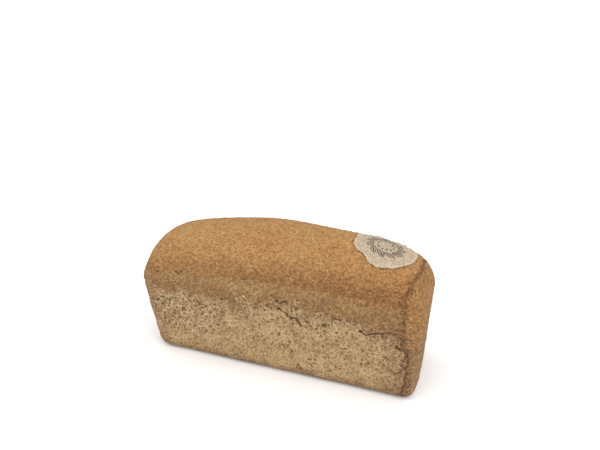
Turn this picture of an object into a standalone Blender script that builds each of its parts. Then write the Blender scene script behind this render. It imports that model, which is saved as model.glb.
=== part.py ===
"""Spelt bread: a tall tin loaf with a disc of edible paper baked onto its crust.

Metres, +Z up. +X runs along the loaf, and the origin lies under the middle of its base.
"""

import bmesh
import bpy
import numpy as np

COLLECTION = "spelt_bread"

# The lower part has the form of the baking tin, with walls that lean outwards
LENGTH = 0.260
WIDTH = 0.1085
BASE_LEFT = 0.1205
BASE_RIGHT = 0.127
BASE_WIDTH = 0.0845
RIM_HEIGHT = 0.0695
BASE_EDGE = 0.008

# Corner radii in plan: the dough filled the tin's right corners better than the left ones
LEFT_CORNER = 0.022
LEFT_CORNER_BASE = 0.013
RIGHT_CORNER = 0.012
RIGHT_CORNER_BASE = 0.009

# Each end bulges: its corners stand back from its middle by this much
LEFT_BULGE = 0.009
RIGHT_BULGE = 0.002

# The dough that rose above the tin: height over the rim at the middle and towards each end
RISE_MIDDLE = 0.0528
RISE_LEFT = 0.0342
RISE_RIGHT = 0.0347
LEFT_END_FULLNESS = 13.0
RIGHT_END_FULLNESS = 14.0
SECTION_FULLNESS = 1.91
SECTION_ROOT = 1.77

# Slow unevenness of the hand-shaped dough, and the crumbly face that lay on the tin
SWELL = 0.0004
SWELL_WAVES = 9
SWELL_LENGTHS = (0.050, 0.110)
CRUMBLE = 0.00022
CRUMBLE_WAVES = 40
CRUMBLE_LENGTHS = (0.009, 0.014)
CRUMBLE_FADE = 0.006
SEED = 186

# Two lines sag along each long side: the tin's rim line and the line where the dome starts.
# Each has its greatest height, where along x it has it, and its sag per square metre.
RIM_LINE = (0.0750, 0.030, 0.36)
DOME_LINE = (0.0868, 0.010, 0.45)
LINE_WIDTH = 0.0022
LINE_DEPTH = 0.0006
SIDE_FROM = 0.036
SIDE_FADE = 0.008

# The rolled dough closes in a fold at each end. The right one runs up both sides and over the
# crest, wanders with the height, and leans outwards near the crest. The left one is an arch on
# the end face, which spreads with the tin.
FOLD_RIGHT = 0.117
FOLD_WANDER = 0.0025
FOLD_WANDER_LENGTH = 0.104
FOLD_WANDER_START = 0.007
FOLD_LEAN = 0.008
FOLD_LEAN_FROM = 0.0885
FOLD_LEAN_RUN = 0.0165
ARCH_HALF = 0.0329
ARCH_HEIGHT = 0.092
ARCH_FROM = -0.100
FOLD_WIDTH = 0.0024
FOLD_DEPTH = 0.0013

# Cracks in the front face, each as (x, z) along its run
CRACKS = [
    [(0.0150, 0.0650), (0.0225, 0.0630), (0.0255, 0.0595), (0.0312, 0.0597), (0.0348, 0.0537)],
    [(0.0377, 0.0615), (0.0397, 0.0590), (0.0453, 0.0540)],
    [(0.0520, 0.0590), (0.0560, 0.0580)],
    [(0.0620, 0.0667), (0.0683, 0.0657)],
    [(0.0825, 0.0584), (0.0850, 0.0572), (0.0912, 0.0575), (0.0987, 0.0603), (0.1097, 0.0622)],
]
CRACK_WIDTH = 0.0022
CRACK_DEPTH = 0.0012
FRONT_FROM = -0.040

# The paper disc lies over the crest near the right end, and its outline is uneven. Each of the
# outline's waves has its count round the rim, its share of the radius and its turn in radians.
DISC_CENTRE = (0.0906, -0.0053)
DISC_RADIUS = 0.0250
DISC_WAVES = [
    (2, 0.019, 0.58),
    (3, 0.036, 0.66),
    (4, 0.018, 0.38),
    (5, 0.016, -0.53),
    (6, 0.020, -0.47),
    (7, 0.018, 0.03),
    (8, 0.013, -0.33),
    (17, 0.004, 0.0),
]
DISC_SHEET_TURN = -0.26
DISC_THICKNESS = 0.0005
DISC_LIFT = 0.00045
DISC_CELLS = 24

# Lattice of the loaf: cells along, across and up the tin walls. The walls' rows are spread
# by a sum of powers of the climb, each with its weight and exponent.
CELLS_LONG = 66
CELLS_ACROSS = 24
CELLS_UP = 16
ROW_SPREAD = [(0.1, 1.0), (1.7, 1.6), (-0.8, 2.6)]
TOP_FACE = 0.999


def tin_wall(u, v, height):
    """Point on the tin wall at a height, from a point (u, v) on the edge of the unit square.

    The square is stretched to the tin's plan at that height, and points beyond a corner's
    centre are moved onto its arc. Near the base the plan shrinks along a quarter circle.
    Also gives the half length and half width of the plan at that height.
    """
    lean = height / RIM_HEIGHT
    foot = np.clip(height / BASE_EDGE, 0, 1)
    inset = BASE_EDGE * (1 - np.sqrt(1 - (1 - foot) ** 2))
    on_left = u < 0
    base_x = np.where(on_left, BASE_LEFT, BASE_RIGHT)
    end_x = base_x + (LENGTH / 2 - base_x) * lean - inset
    side_y = (BASE_WIDTH + (WIDTH - BASE_WIDTH) * lean) / 2 - inset
    left = LEFT_CORNER_BASE + (LEFT_CORNER - LEFT_CORNER_BASE) * lean
    right = RIGHT_CORNER_BASE + (RIGHT_CORNER - RIGHT_CORNER_BASE) * lean
    corner = np.where(on_left, left, right) - inset

    x, y = np.abs(u) * end_x, np.abs(v) * side_y
    arc_x, arc_y = x - (end_x - corner), y - (side_y - corner)
    on_arc = (arc_x > 0) & (arc_y > 0)
    pull = np.where(on_arc, corner / np.where(on_arc, np.hypot(arc_x, arc_y), 1), 1)
    x = np.where(on_arc, end_x - corner + arc_x * pull, x)
    y = np.where(on_arc, side_y - corner + arc_y * pull, y)
    return np.sign(u) * x, np.sign(v) * y, end_x, side_y


def bulge_ends(x, y, end_x, side_y):
    """Set the corners of each end back from its middle."""
    bulge = np.where(x < 0, LEFT_BULGE, RIGHT_BULGE)
    return x - np.sign(x) * bulge * np.abs(x / end_x) ** 3 * (y / side_y) ** 2


def dome_rise(x, y):
    """Height over the rim: a long crest that falls off across the loaf and at both ends."""
    end_x = LENGTH / 2
    on_left = x < 0
    u = np.clip(np.abs(x) / end_x, 0, 1)
    crest = RISE_MIDDLE + (np.where(on_left, RISE_LEFT, RISE_RIGHT) - RISE_MIDDLE) * u ** 2
    along = np.sqrt(1 - u ** np.where(on_left, LEFT_END_FULLNESS, RIGHT_END_FULLNESS))
    corner = np.where(on_left, LEFT_CORNER, RIGHT_CORNER)
    past = np.clip((np.abs(x) - (end_x - corner)) / corner, 0, 1)
    side_y = WIDTH / 2 - corner * (1 - np.sqrt(1 - past ** 2))
    v = np.clip(np.abs(y) / side_y, 0, 1)
    return crest * along * (1 - v ** SECTION_FULLNESS) ** (1 / SECTION_ROOT)


def waves(points, count, lengths, seed):
    """Seeded sum of sine waves of mixed direction and length, of about unit size."""
    draw = np.random.default_rng(seed)
    total = np.zeros(len(points))
    for _ in range(count):
        direction = draw.normal(size=3)
        direction /= np.linalg.norm(direction)
        turns = points @ direction / draw.uniform(*lengths) + draw.uniform()
        total += np.sin(2 * np.pi * turns)
    return total / np.sqrt(count / 2)


def groove(distance, width):
    """One at the middle of a groove, falling off as a bell curve."""
    return np.exp(-(distance / width) ** 2)


def crack_distance(x, z, run):
    """Distance in the front face from a crack's run of straight pieces."""
    nearest = np.full(len(x), 1.0)
    for (x0, z0), (x1, z1) in zip(run, run[1:]):
        dx, dz = x1 - x0, z1 - z0
        along = np.clip(((x - x0) * dx + (z - z0) * dz) / (dx ** 2 + dz ** 2), 0, 1)
        nearest = np.minimum(nearest, np.hypot(x - x0 - along * dx, z - z0 - along * dz))
    return nearest


def arch_distance(y, z):
    """Distance from the arch on the left end, positive outside it.

    The arch is an oval of the fourth power. The distance is the oval's size less one, over
    how fast that size grows.
    """
    spread = BASE_WIDTH + (WIDTH - BASE_WIDTH) * np.clip(z / RIM_HEIGHT, 0, 1)
    half = ARCH_HALF * spread / WIDTH
    across, up = np.abs(y) / half, np.abs(z) / ARCH_HEIGHT
    size = np.maximum((across ** 4 + up ** 4) ** 0.25, 0.1)
    growth = np.hypot(across ** 3 / half, up ** 3 / ARCH_HEIGHT) / size ** 3
    return (size - 1) / np.maximum(growth, 5.0)


def swell(points):
    """Slow unevenness of the whole loaf, which the paper disc follows too."""
    return SWELL * waves(points, SWELL_WAVES, SWELL_LENGTHS, SEED)


def crust_relief(points):
    """How far the crust stands out from its plain form, along the surface normal."""
    x, y, z = points.T
    relief = swell(points)
    tin_face = np.clip((RIM_LINE[0] - z) / CRUMBLE_FADE, 0, 1)
    relief += CRUMBLE * tin_face * waves(points, CRUMBLE_WAVES, CRUMBLE_LENGTHS, SEED + 1)
    on_side = np.clip((np.abs(y) - SIDE_FROM) / SIDE_FADE, 0, 1)
    for height, middle, sag in (RIM_LINE, DOME_LINE):
        line = height - sag * (x - middle) ** 2
        relief -= LINE_DEPTH * on_side * groove(z - line, LINE_WIDTH)
    wander = FOLD_WANDER * np.sin(2 * np.pi * (z - FOLD_WANDER_START) / FOLD_WANDER_LENGTH)
    wander += FOLD_LEAN * np.clip((z - FOLD_LEAN_FROM) / FOLD_LEAN_RUN, 0, 1)
    relief -= FOLD_DEPTH * groove(x - FOLD_RIGHT - wander, FOLD_WIDTH)
    relief -= FOLD_DEPTH * groove(arch_distance(y, z), FOLD_WIDTH) * (x < ARCH_FROM)
    for run in CRACKS:
        crack = groove(crack_distance(x, z, run), CRACK_WIDTH)
        relief -= CRACK_DEPTH * (y < FRONT_FROM) * crack
    return relief


def cut_lattice(bm, cells):
    """Cut the cube's edges along each axis into that axis's number of cells."""
    for axis, count in enumerate(cells):
        parallel = [e for e in bm.edges if abs((e.verts[0].co - e.verts[1].co)[axis]) > 0.1]
        bmesh.ops.subdivide_edges(bm, edges=parallel, cuts=count - 1)


def mesh_points(mesh):
    """All vertex positions as rows of an array."""
    flat = np.empty(len(mesh.vertices) * 3)
    mesh.vertices.foreach_get("co", flat)
    return flat.reshape(-1, 3)


def mesh_normals(mesh):
    """All vertex normals as rows of an array."""
    flat = np.empty(len(mesh.vertices) * 3)
    mesh.vertex_normals.foreach_get("vector", flat)
    return flat.reshape(-1, 3)


def loaf_form(cube):
    """Carry the points of the cut cube onto the loaf's plain form.

    Columns crowd towards the loaf's ends and sides, where the dome is steep. Rows crowd
    towards the base edge.
    """
    u, v, w = cube.T
    u, v = np.sin(u * np.pi / 2), np.sin(v * np.pi / 2)
    climb = (w + 1) / 2
    height = RIM_HEIGHT * sum(weight * climb ** power for weight, power in ROW_SPREAD)
    ring = np.maximum(np.maximum(np.abs(u), np.abs(v)), 1e-9)
    x, y, end_x, side_y = tin_wall(u / ring, v / ring, height)
    x, y = x * ring, y * ring
    rise = np.where(w > TOP_FACE, dome_rise(x, y), 0)
    return np.column_stack([bulge_ends(x, y, end_x, side_y), y, height + rise])


def crust_material():
    """Baked wholemeal crust: matt, warm tan."""
    material = bpy.data.materials.new("crust")
    material.use_nodes = True
    shader = material.node_tree.nodes["Principled BSDF"]
    shader.inputs["Base Color"].default_value = (0.42, 0.24, 0.10, 1)
    shader.inputs["Roughness"].default_value = 0.85
    shader.inputs["Metallic"].default_value = 0.0
    return material


def paper_material():
    """Edible paper: matt, pale cream grey."""
    material = bpy.data.materials.new("paper")
    material.use_nodes = True
    shader = material.node_tree.nodes["Principled BSDF"]
    shader.inputs["Base Color"].default_value = (0.62, 0.55, 0.44, 1)
    shader.inputs["Roughness"].default_value = 0.75
    shader.inputs["Metallic"].default_value = 0.0
    return material


def add_loaf(collection):
    """The loaf: a finely cut cube shaped into tin walls and a dome, then given its relief."""
    bm = bmesh.new()
    bmesh.ops.create_cube(bm, size=2)
    cut_lattice(bm, (CELLS_LONG, CELLS_ACROSS, CELLS_UP))
    base = [f for f in bm.faces if f.normal.z < -0.5]
    bmesh.ops.dissolve_faces(bm, faces=base, use_verts=False)
    mesh = bpy.data.meshes.new("loaf")
    bm.to_mesh(mesh)
    bm.free()

    mesh.vertices.foreach_set("co", loaf_form(mesh_points(mesh)).ravel())
    mesh.update()
    points, normals = mesh_points(mesh), mesh_normals(mesh)
    free_of_base = np.clip(points[:, 2] / BASE_EDGE, 0, 1)
    points += normals * (crust_relief(points) * free_of_base)[:, None]
    mesh.vertices.foreach_set("co", points.ravel())
    mesh.shade_smooth()
    mesh.materials.append(crust_material())
    loaf = bpy.data.objects.new("loaf", mesh)
    collection.objects.link(loaf)
    return loaf


def disc_form(square):
    """Carry a square sheet onto the disc's plan.

    Each square ring becomes a round one, turned so that the sheet's corners meet full places
    of the outline. The outline's waves are cosines of the angle that fade towards the middle.
    """
    u, v = square[:, 0], square[:, 1]
    ring = np.maximum(np.abs(u), np.abs(v))
    near_y = np.abs(u) < np.abs(v)
    turn_x = np.pi / 4 * v / np.where(np.abs(u) > 0, u, 1) + np.where(u < 0, np.pi, 0)
    turn_y = np.pi / 2 - np.pi / 4 * u / np.where(near_y, v, 1) + np.where(v < 0, np.pi, 0)
    angle = np.where(near_y, turn_y, turn_x) + DISC_SHEET_TURN
    uneven = sum(share * np.cos(count * (angle - turn)) for count, share, turn in DISC_WAVES)
    reach = DISC_RADIUS * ring * (1 + ring ** 4 * uneven)
    x = DISC_CENTRE[0] + reach * np.cos(angle)
    y = DISC_CENTRE[1] + reach * np.sin(angle)
    return np.column_stack([x, y, RIM_HEIGHT + dome_rise(x, y)])


def add_disc(collection):
    """The paper disc: a lobed sheet laid over the dome, thickened upwards."""
    bm = bmesh.new()
    bmesh.ops.create_grid(bm, x_segments=DISC_CELLS, y_segments=DISC_CELLS, size=1)
    bmesh.ops.triangulate(bm, faces=bm.faces)
    mesh = bpy.data.meshes.new("paper_disc")
    bm.to_mesh(mesh)
    bm.free()

    mesh.vertices.foreach_set("co", disc_form(mesh_points(mesh)).ravel())
    mesh.update()
    points, normals = mesh_points(mesh), mesh_normals(mesh)
    points += normals * (swell(points) + DISC_LIFT)[:, None]
    mesh.vertices.foreach_set("co", points.ravel())
    mesh.shade_smooth()
    mesh.materials.append(paper_material())
    disc = bpy.data.objects.new("paper_disc", mesh)
    collection.objects.link(disc)
    thickness = disc.modifiers.new("Thickness", "SOLIDIFY")
    thickness.thickness = DISC_THICKNESS
    thickness.offset = 1.0
    return disc


for old in list(bpy.data.objects):
    bpy.data.objects.remove(old, do_unlink=True)

bread = bpy.data.collections.new(COLLECTION)
bpy.context.scene.collection.children.link(bread)
add_loaf(bread)
add_disc(bread)
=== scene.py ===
"""Spelt bread: a tall tin loaf with a crumbly wholemeal crust and a printed disc of edible paper."""

import math
from types import SimpleNamespace

import bpy
import numpy as np
from mathutils import Matrix, Vector


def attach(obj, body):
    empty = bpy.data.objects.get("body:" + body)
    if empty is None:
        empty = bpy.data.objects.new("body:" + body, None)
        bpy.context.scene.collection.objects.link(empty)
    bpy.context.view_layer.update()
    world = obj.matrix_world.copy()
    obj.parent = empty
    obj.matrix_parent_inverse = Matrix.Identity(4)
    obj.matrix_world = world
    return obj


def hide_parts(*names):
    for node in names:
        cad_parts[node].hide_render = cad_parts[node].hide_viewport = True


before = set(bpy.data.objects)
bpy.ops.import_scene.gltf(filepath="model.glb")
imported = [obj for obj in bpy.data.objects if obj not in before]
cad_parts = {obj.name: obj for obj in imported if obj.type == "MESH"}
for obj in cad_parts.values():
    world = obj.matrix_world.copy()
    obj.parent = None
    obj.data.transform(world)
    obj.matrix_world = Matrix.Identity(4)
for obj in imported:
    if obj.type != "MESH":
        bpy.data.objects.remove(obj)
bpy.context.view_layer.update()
BODY = "root"


# The crust: one loaf of wholemeal spelt dough, rolled up, closed in a fold at each end and
# baked in a steep tin. The dome baked free above the rim, and the walls took the tin's form.

LENGTH = 0.260
WIDTH = 0.1085
BASE_LEFT = 0.1205
BASE_RIGHT = 0.127
BASE_WIDTH = 0.0845
RIM_HEIGHT = 0.0695
BASE_EDGE = 0.008
LEFT_CORNER = 0.022
LEFT_CORNER_BASE = 0.013
RIGHT_CORNER = 0.012
RIGHT_CORNER_BASE = 0.009
LEFT_BULGE = 0.009
RIGHT_BULGE = 0.002
RISE_MIDDLE = 0.0528
RISE_LEFT = 0.0342
RISE_RIGHT = 0.0347
LEFT_END_FULLNESS = 13.0
RIGHT_END_FULLNESS = 14.0
SECTION_FULLNESS = 1.91
SECTION_ROOT = 1.77

# Cells of the crust's surface: a lattice on the crest, rows over the shoulders and down the walls
CELLS_LONG = 236
CELLS_ACROSS = 92
SHOULDER_ROWS = 34
SHOULDER_STEP = 0.0013
WALL_ROWS = 76
BASE_SHRINKS = [0.96, 0.86, 0.62]
PROFILE_SAMPLES = 4000


def tin_wall(u, v, height):
    """Point on the tin wall at a height, from a point (u, v) on the edge of the unit square.

    The square is stretched to the tin's plan at that height, and points beyond a corner's
    centre are moved onto its arc. Near the base the plan shrinks along a quarter circle.
    Also gives the half length and half width of the plan at that height.
    """
    lean = height / RIM_HEIGHT
    foot = np.clip(height / BASE_EDGE, 0, 1)
    inset = BASE_EDGE * (1 - np.sqrt(1 - (1 - foot) ** 2))
    on_left = u < 0
    base_x = np.where(on_left, BASE_LEFT, BASE_RIGHT)
    end_x = base_x + (LENGTH / 2 - base_x) * lean - inset
    side_y = (BASE_WIDTH + (WIDTH - BASE_WIDTH) * lean) / 2 - inset
    left = LEFT_CORNER_BASE + (LEFT_CORNER - LEFT_CORNER_BASE) * lean
    right = RIGHT_CORNER_BASE + (RIGHT_CORNER - RIGHT_CORNER_BASE) * lean
    corner = np.where(on_left, left, right) - inset

    x, y = np.abs(u) * end_x, np.abs(v) * side_y
    arc_x, arc_y = x - (end_x - corner), y - (side_y - corner)
    on_arc = (arc_x > 0) & (arc_y > 0)
    pull = np.where(on_arc, corner / np.where(on_arc, np.hypot(arc_x, arc_y), 1), 1)
    x = np.where(on_arc, end_x - corner + arc_x * pull, x)
    y = np.where(on_arc, side_y - corner + arc_y * pull, y)
    return np.sign(u) * x, np.sign(v) * y, end_x, side_y


def bulge_ends(x, y, end_x, side_y):
    """Set the corners of each end back from its middle, as the cube along and the square across."""
    bulge = np.where(x < 0, LEFT_BULGE, RIGHT_BULGE)
    return x - np.sign(x) * bulge * np.abs(x / end_x) ** 3 * (y / side_y) ** 2


def dome_rise(x, y):
    """Height over the rim: a long crest that falls off across the loaf and at both ends.

    The crest bends as the square of the way to each end. The fall along is the root of one
    less a power, and so is the fall across, so the dome is upright where it meets the rim.
    """
    end_x = LENGTH / 2
    on_left = x < 0
    u = np.clip(np.abs(x) / end_x, 0, 1)
    crest = RISE_MIDDLE + (np.where(on_left, RISE_LEFT, RISE_RIGHT) - RISE_MIDDLE) * u ** 2
    along = np.sqrt(1 - u ** np.where(on_left, LEFT_END_FULLNESS, RIGHT_END_FULLNESS))
    corner = np.where(on_left, LEFT_CORNER, RIGHT_CORNER)
    past = np.clip((np.abs(x) - (end_x - corner)) / corner, 0, 1)
    side_y = WIDTH / 2 - corner * (1 - np.sqrt(1 - past ** 2))
    v = np.clip(np.abs(y) / side_y, 0, 1)
    return crest * along * (1 - v ** SECTION_FULLNESS) ** (1 / SECTION_ROOT)


def square_loop(cells_long, cells_across):
    """The lattice's border as (column, row) pairs, once round from its first corner."""
    front = [(i, 0) for i in range(cells_long)]
    right = [(cells_long, j) for j in range(cells_across)]
    back = [(i, cells_across) for i in range(cells_long, 0, -1)]
    left = [(0, j) for j in range(cells_across, 0, -1)]
    return np.array(front + right + back + left)


def even_walk(run, climb, distances):
    """Where along a profile each distance lies, as a share of its samples from 0 to 1.

    The profile's length is summed over its samples and read backwards.
    """
    length = np.concatenate([[0], np.cumsum(np.hypot(np.diff(run), np.diff(climb)))])
    return np.interp(distances, length, np.linspace(0, 1, len(run)))


def shoulder_shrinks(profile, reach):
    """How far each shoulder row has drawn in from the rim, along one axis of the plan.

    The samples crowd towards the rim as a cube, because the dome is upright there. The rows
    are one step of arc apart.
    """
    sample = 1 - np.linspace(0, 1, PROFILE_SAMPLES) ** 3
    share = even_walk(sample * reach, profile(sample * reach), np.arange(SHOULDER_ROWS + 1) * SHOULDER_STEP)
    return 1 - share ** 3


def loaf_rows():
    """Plain form of the loaf: its lattice and its rows of points, from the crest to the base.

    On the crest a square lattice is stretched over the plan, ring by ring. Each shoulder row
    is the rim's outline drawn in, and each wall row is the tin's outline at a lower height.
    """
    along = shoulder_shrinks(lambda x: dome_rise(x, np.zeros_like(x)), LENGTH / 2)
    across = shoulder_shrinks(lambda y: dome_rise(np.zeros_like(y), y), WIDTH / 2)
    columns, lanes = np.linspace(-1, 1, CELLS_LONG + 1), np.linspace(-1, 1, CELLS_ACROSS + 1)
    u, v = np.meshgrid(columns, lanes, indexing="ij")
    ring = np.maximum(np.maximum(np.abs(u), np.abs(v)), 1e-9)
    x, y, end_x, side_y = tin_wall(u / ring, v / ring, RIM_HEIGHT)
    x, y = x * ring * along[-1], y * ring * across[-1]
    crest = np.stack([bulge_ends(x, y, end_x, side_y), y, RIM_HEIGHT + dome_rise(x, y)], -1)

    loop = square_loop(CELLS_LONG, CELLS_ACROSS)
    edge_u, edge_v = u[tuple(loop.T)], v[tuple(loop.T)]
    rim_x, rim_y, end_x, side_y = tin_wall(edge_u, edge_v, RIM_HEIGHT)
    x = rim_x * along[-2::-1, None]
    y = rim_y * across[-2::-1, None]
    shoulder = np.stack([bulge_ends(x, y, end_x, side_y), y, RIM_HEIGHT + dome_rise(x, y)], -1)

    fall = np.linspace(1, 0, PROFILE_SAMPLES)
    _, side, _, _ = tin_wall(np.zeros(PROFILE_SAMPLES), np.ones(PROFILE_SAMPLES), fall * RIM_HEIGHT)
    total = np.hypot(np.diff(side), np.diff(fall * RIM_HEIGHT)).sum()
    share = even_walk(side, fall * RIM_HEIGHT, np.arange(1, WALL_ROWS + 1) / WALL_ROWS * total)
    height = RIM_HEIGHT * (1 - share)[:, None]
    x, y, end_x, side_y = tin_wall(edge_u[None], edge_v[None], height)
    wall = np.stack([bulge_ends(x, y, end_x, side_y), y, np.broadcast_to(height, x.shape)], -1)

    base = wall[-1] * np.array(BASE_SHRINKS)[:, None, None]
    return crest, np.concatenate([shoulder, wall, base]), loop


def loaf_faces(crest_shape, row_count, loop):
    """Quads of the lattice and between the rows, and the triangles that close the base."""
    columns, rows = crest_shape[0], crest_shape[1]
    number = np.arange(columns * rows).reshape(columns, rows)
    near, far = number[:-1, :-1], number[1:, 1:]
    lattice = np.stack([near, number[1:, :-1], far, number[:-1, 1:]], -1).reshape(-1, 4)

    around = len(loop)
    first = columns * rows
    below = first + np.arange(row_count * around).reshape(row_count, around)
    rings = np.concatenate([number[tuple(loop.T)][None], below])
    turned = np.roll(rings, -1, axis=1)
    bands = np.stack([rings[1:], turned[1:], turned[:-1], rings[:-1]], -1).reshape(-1, 4)
    middle = np.full(around, first + row_count * around)
    fan = np.stack([middle, turned[-1], rings[-1]], -1)
    return [*lattice.tolist(), *bands.tolist(), *fan.tolist()]


def mesh_points(mesh):
    """All vertex positions as rows of an array."""
    flat = np.empty(len(mesh.vertices) * 3)
    mesh.vertices.foreach_get("co", flat)
    return flat.reshape(-1, 3)


def mesh_normals(mesh):
    """All vertex normals as rows of an array."""
    flat = np.empty(len(mesh.vertices) * 3)
    mesh.vertex_normals.foreach_get("vector", flat)
    return flat.reshape(-1, 3)


def set_values(mesh, name, values):
    """Store one number for each vertex, for the material to read."""
    mesh.attributes.new(name, "FLOAT", "POINT").data.foreach_set("value", values.astype(np.float32))


def add_piece(name, mesh, material):
    """Show a finished mesh as a piece that rides on the loaf."""
    mesh.shade_smooth()
    mesh.materials.append(material)
    piece = bpy.data.objects.new(name, mesh)
    bpy.context.scene.collection.objects.link(piece)
    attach(piece, BODY)
    return piece


def waves(points, count, lengths, seed):
    """Seeded sum of sine waves of mixed direction and length, of about unit size.

    With a narrow span of lengths, its hills and hollows wind about like worm tracks.
    """
    draw = np.random.default_rng(seed)
    total = np.zeros(len(points))
    for _ in range(count):
        direction = draw.normal(size=3)
        direction /= np.linalg.norm(direction)
        turns = points @ direction / draw.uniform(*lengths) + draw.uniform()
        total += np.sin(2 * np.pi * turns)
    return total / np.sqrt(count / 2)


def groove(distance, width):
    """One at the middle of a groove, falling off as a bell curve."""
    return np.exp(-(distance / width) ** 2)


def fade(value, start, full):
    """Nought up to start and one from full on, with a smooth step between them."""
    t = np.clip((value - start) / (full - start), 0, 1)
    return t * t * (3 - 2 * t)


def run_distance(x, z, run):
    """Distance in the front face from a run of straight pieces."""
    nearest = np.full(len(x), np.inf)
    for (x0, z0), (x1, z1) in zip(run, run[1:]):
        dx, dz = x1 - x0, z1 - z0
        along = np.clip(((x - x0) * dx + (z - z0) * dz) / (dx ** 2 + dz ** 2), 0, 1)
        nearest = np.minimum(nearest, np.hypot(x - x0 - along * dx, z - z0 - along * dz))
    return nearest


# Each wave sum is given as its number of sines, the span of their lengths, and a seed
SEED = 186

# Slow unevenness of the hand-shaped dough, and of the face that lay on the tin
SWELL = 0.0004
SWELL_WAVES = (9, (0.050, 0.110), SEED)
CRUMBLE = 0.00022
CRUMBLE_WAVES = (40, (0.009, 0.014), SEED + 1)
CRUMBLE_FADE = 0.006

# Rim line and dome line: greatest height, where along x it lies, and sag per square metre
RIM_LINE = (0.0750, 0.030, 0.36)
DOME_LINE = (0.0868, 0.010, 0.45)
LINE_WIDTH = 0.0022
LINE_DEPTH = 0.0006
SIDE_FROM = 0.036
SIDE_FADE = 0.008

# Height of the pitted face's top, at places along the loaf
PIT_TOP_X = (-0.130, -0.091, -0.017, 0.010, 0.050, 0.072, 0.095, 0.130)
PIT_TOP_Z = (0.0635, 0.0668, 0.0710, 0.0745, 0.0750, 0.0710, 0.0625, 0.0600)
PIT_TOP_WANDER = 0.0022
PIT_TOP_WAVES = (30, (0.008, 0.024), SEED + 2)
PIT_FADE = 0.014

# Three sizes of pits: fine ones all over, worm tracks in patches, and blisters. A border is the
# two values of the wave sum where a pit starts and where it is full, and a ridge is the middle
# and the width of its raised rim in the same sum.
FINE_WAVES = (160, (0.0021, 0.0029), SEED + 10)
FINE_BORDER = (0.80, 2.20)
FINE_DEPTH = 0.00025
WORM_WAVES = (140, (0.0028, 0.0040), SEED + 3)
WORM_BORDER = (0.45, 1.40)
WORM_RIDGE = (-0.20, 0.40)
WORM_DEPTH = 0.00070
BLISTER_WAVES = (120, (0.0044, 0.0066), SEED + 4)
BLISTER_BORDER = (0.70, 1.60)
BLISTER_RIDGE = (0.25, 0.30)
BLISTER_DEPTH = 0.0010
RIDGE_HEIGHT = 0.00034

# How much of the face has worm tracks: a share at one height, its rise per metre of climb, how
# far it varies from patch to patch, and its least. The band above and the ends have fewer.
WORM_SHARE = 0.75
WORM_SHARE_HEIGHT = 0.035
WORM_SHARE_RISE = 8.0
WORM_SHARE_PATCHY = 0.15
WORM_SHARE_LEAST = 0.35
PATCH_WAVES = (30, (0.012, 0.030), SEED + 9)
BAND_WORMS = 0.35
BAND_TOP = (-0.002, 0.004)
END_WORMS = 0.45

# How much of it has blisters, which are closer together towards the left end and start some way
# up from the base
BLISTER_X = (-0.130, -0.110, -0.065, -0.035, 0.000, 0.040, 0.080, 0.117)
BLISTER_SHARE = (0.8, 1.0, 0.95, 0.50, 0.35, 0.55, 0.40, 0.50)
BLISTER_FROM = (0.012, 0.032)

# The strip below the pitted face's top tore off the tin and is the most crumbled, most mid face
TORN_BELOW = 0.005
TORN_REACH = 0.006
TORN_X = (-0.130, -0.090, -0.045, 0.000, 0.060, 0.115)
TORN_SHARE = (0.3, 0.5, 0.8, 1.0, 1.0, 0.5)

# How brown the tin face is at its outer edges, below the rim, beside the folds and in blisters
EDGE_MIDDLE = -0.004
EDGE_OUT = (0.092, 0.118)
EDGE_LOW = (0.016, 0.002)
EDGE_BROWN = 1.1
EDGE_PATCHY = 0.30
EDGE_MOST = 1.15
RIM_BROWN = 0.6
RIM_BROWN_FROM = (0.045, 0.066)
FOLD_BROWN = 0.7
FOLD_BROWN_FROM = (0.014, 0.002)
BLISTER_BROWN = 0.80

# The dome's grain of coarse meal
GRAIN_WAVES = (120, (0.0022, 0.0034), SEED + 5)
GRAIN_HEIGHT = 0.00016

# The rolled dough's closing fold at each end, ragged and with lips on both sides. The right one
# runs up both sides and over the crest, and the left one is an arch on the end face.
FOLD_RIGHT = 0.117
FOLD_WANDER = 0.0025
FOLD_WANDER_LENGTH = 0.104
FOLD_WANDER_START = 0.007
FOLD_KINK = 0.0020
FOLD_KINK_HEIGHT = 0.0575
FOLD_KINK_REACH = 0.008
FOLD_LEAN = 0.0080
FOLD_LEAN_FROM = (0.0885, 0.1050)
ARCH_HALF = 0.0329
ARCH_HEIGHT = 0.092
ARCH_FROM = -0.100
ARCH_LEAST_SIZE = 0.1
ARCH_LEAST_GROWTH = 5.0
FAR_OFF = 1.0
FOLD_WIDTH = 0.0016
FOLD_DEPTH = 0.0007
FOLD_RAG = 0.0008
FOLD_RAG_WAVES = (40, (0.004, 0.012), SEED + 6)
FOLD_LIP = 0.00030
FOLD_LIP_AT = 0.0034
FOLD_SOFT = 0.0025

# The fold's depth is frayed: its mean share, how far that varies, and its least and greatest
FRAY_MEAN = 0.8
FRAY_VARIES = 0.3
FRAY_SPAN = (0.25, 1.4)
FRAY_WAVES = (40, (0.004, 0.012), SEED + 7)

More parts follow.
